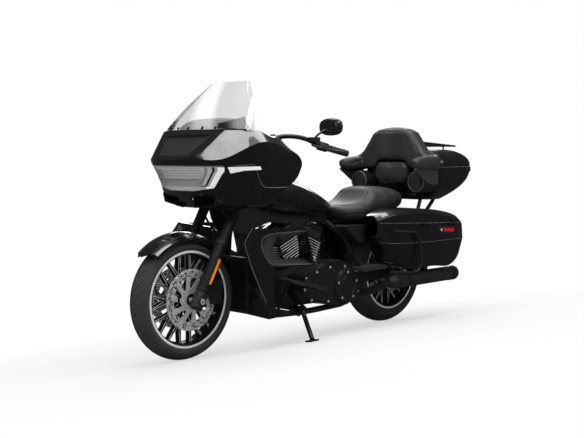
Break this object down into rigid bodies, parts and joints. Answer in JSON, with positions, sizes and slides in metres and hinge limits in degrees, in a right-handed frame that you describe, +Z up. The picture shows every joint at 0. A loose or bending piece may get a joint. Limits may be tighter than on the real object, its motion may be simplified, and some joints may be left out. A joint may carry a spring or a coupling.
{
  "type": "motorcycle",
  "caption": "Large touring cruiser with nose fairing, windshield, leg shields, saddlebags and rear case, leaning on its side stand.",
  "frame": {"origin": "centre of the bounding box's footprint, on the floor", "axes": "+X the way it drives, +Y the rider's left, +Z up; the motorcycle leans 9 degrees to +Y on its side stand"},
  "size_m": [2.5576, 0.9793, 1.4576],
  "materials": {
    "tyre": "matte rubber",
    "wheel_black": "gloss black cast",
    "disc_steel": "drilled brushed steel",
    "axle_steel": "satin",
    "fork_metal": "satin black",
    "bar_metal": "gloss black",
    "rubber": "matte",
    "control_black": "satin",
    "gloss_black": "gloss clear coat",
    "body_plastic": "gloss clear coat",
    "caliper_metal": "satin black",
    "frame_black": "satin black",
    "engine_black": "textured black",
    "cover_black": "satin black",
    "exhaust_black": "satin black",
    "seat_leather": "grained",
    "matte_black": "satin",
    "lamp_glass": "clear lens over lamp forms",
    "lamp_metal": "satin reflector",
    "screen_glass": "clear",
    "lamp_red": "red lens",
    "board_rubber": "ribbed"
  },
  "bodies": {
    "chassis": {"frame": "frame_black", "rear_frame": "frame_black", "engine_case": "engine_black", "cylinder_front": "engine_black", "cylinder_rear": "engine_black", "rocker_covers": "cover_black", "primary_cover": "cover_black", "cam_cover": "cover_black", "air_cleaner": "cover_black", "exhaust_pipes": "exhaust_black", "muffler_left": "exhaust_black", "muffler_right": "exhaust_black", "fuel_tank": "gloss_black", "tank_console": "cover_black", "seat": "seat_leather", "side_covers": "matte_black", "fairing_shell": "body_plastic", "headlight": "lamp_metal", "headlight_lens": "lamp_glass", "radiator": "matte_black", "fairing_inner": "matte_black", "gauge_visor": "matte_black", "windshield": "screen_glass", "lower_left": "body_plastic", "lower_right": "body_plastic", "saddlebag_left": "body_plastic", "saddlebag_right": "body_plastic", "rear_fender": "gloss_black", "tail_lamp": "lamp_red", "swingarm": "frame_black", "shock_absorbers": "bar_metal", "rear_caliper": "caliper_metal", "rear_axle": "axle_steel", "top_case": "body_plastic", "backrest": "seat_leather", "speaker_pods": "matte_black"},
    "steering": {"fork": "fork_metal", "handlebar": "bar_metal", "grips": "rubber", "controls": "control_black", "mirrors": "gloss_black", "front_fender": "gloss_black", "front_calipers": "caliper_metal", "front_axle": "axle_steel"},
    "front_wheel_set": {"front_tyre": "tyre", "front_wheel": "wheel_black", "front_discs": "disc_steel"},
    "rear_wheel_set": {"rear_tyre": "tyre", "rear_wheel": "wheel_black", "rear_rotors": "disc_steel"},
    "stand": {"side_stand": "frame_black"},
    "left_bag_lid": {"bag_lid_left": "body_plastic"},
    "right_bag_lid": {"bag_lid_right": "body_plastic"},
    "case_lid": {"top_case_lid": "body_plastic", "luggage_rack": "bar_metal"},
    "left_rider_board": {"floorboard_left": "board_rubber"},
    "right_rider_board": {"floorboard_right": "board_rubber"},
    "left_passenger_board": {"passenger_board_left": "board_rubber"},
    "right_passenger_board": {"passenger_board_right": "board_rubber"}
  },
  "joints": [
    {"name": "steering", "type": "hinge", "parent": "chassis", "child": "steering", "pos_m": [0.69054, -0.02121, 0.88892], "axis": [-0.4384, 0.1406, 0.8877], "range_deg": [-28, 28]},
    {"name": "front_wheel_spin", "type": "hinge", "parent": "steering", "child": "front_wheel_set", "pos_m": [0.9595, -0.11191, 0.31623], "axis": [0, 0.9877, -0.1564], "continuous": true},
    {"name": "rear_wheel_spin", "type": "hinge", "parent": "chassis", "child": "rear_wheel_set", "pos_m": [-0.6655, -0.11056, 0.32477], "axis": [0, 0.9877, -0.1564], "continuous": true},
    {"name": "side_stand_fold", "type": "hinge", "parent": "chassis", "child": "stand", "pos_m": [0.267, 0.05622, 0.17603], "axis": [-0.0646, 0.808, 0.5856], "range_deg": [0, 90]},
    {"name": "left_bag_lid_hinge", "type": "hinge", "parent": "chassis", "child": "left_bag_lid", "pos_m": [-0.653, 0.3419, 0.57337], "axis": [0.9993, 0.0057, 0.0361], "range_deg": [-75, 0]},
    {"name": "right_bag_lid_hinge", "type": "hinge", "parent": "chassis", "child": "right_bag_lid", "pos_m": [-0.653, -0.46406, 0.70102], "axis": [0.9993, 0.0057, 0.0361], "range_deg": [0, 75]},
    {"name": "case_lid_hinge", "type": "hinge", "parent": "chassis", "child": "case_lid", "pos_m": [-1.053, -0.30367, 1.02326], "axis": [1, 0, 0], "range_deg": [0, 80]},
    {"name": "left_rider_board_fold", "type": "hinge", "parent": "chassis", "child": "left_rider_board", "pos_m": [0.465, 0.14001, 0.34703], "axis": [0.9683, 0.0391, 0.2468], "range_deg": [0, 36]},
    {"name": "right_rider_board_fold", "type": "hinge", "parent": "chassis", "child": "right_rider_board", "pos_m": [0.465, -0.34199, 0.42337], "axis": [0.9683, 0.0391, 0.2468], "range_deg": [-36, 0]},
    {"name": "left_passenger_board_fold", "type": "hinge", "parent": "chassis", "child": "left_passenger_board", "pos_m": [-0.229, 0.15467, 0.36293], "axis": [1, 0, 0], "range_deg": [0, 75]},
    {"name": "right_passenger_board_fold", "type": "hinge", "parent": "chassis", "child": "right_passenger_board", "pos_m": [-0.229, -0.35102, 0.44302], "axis": [1, 0, 0], "range_deg": [-75, 0]}
  ]
}
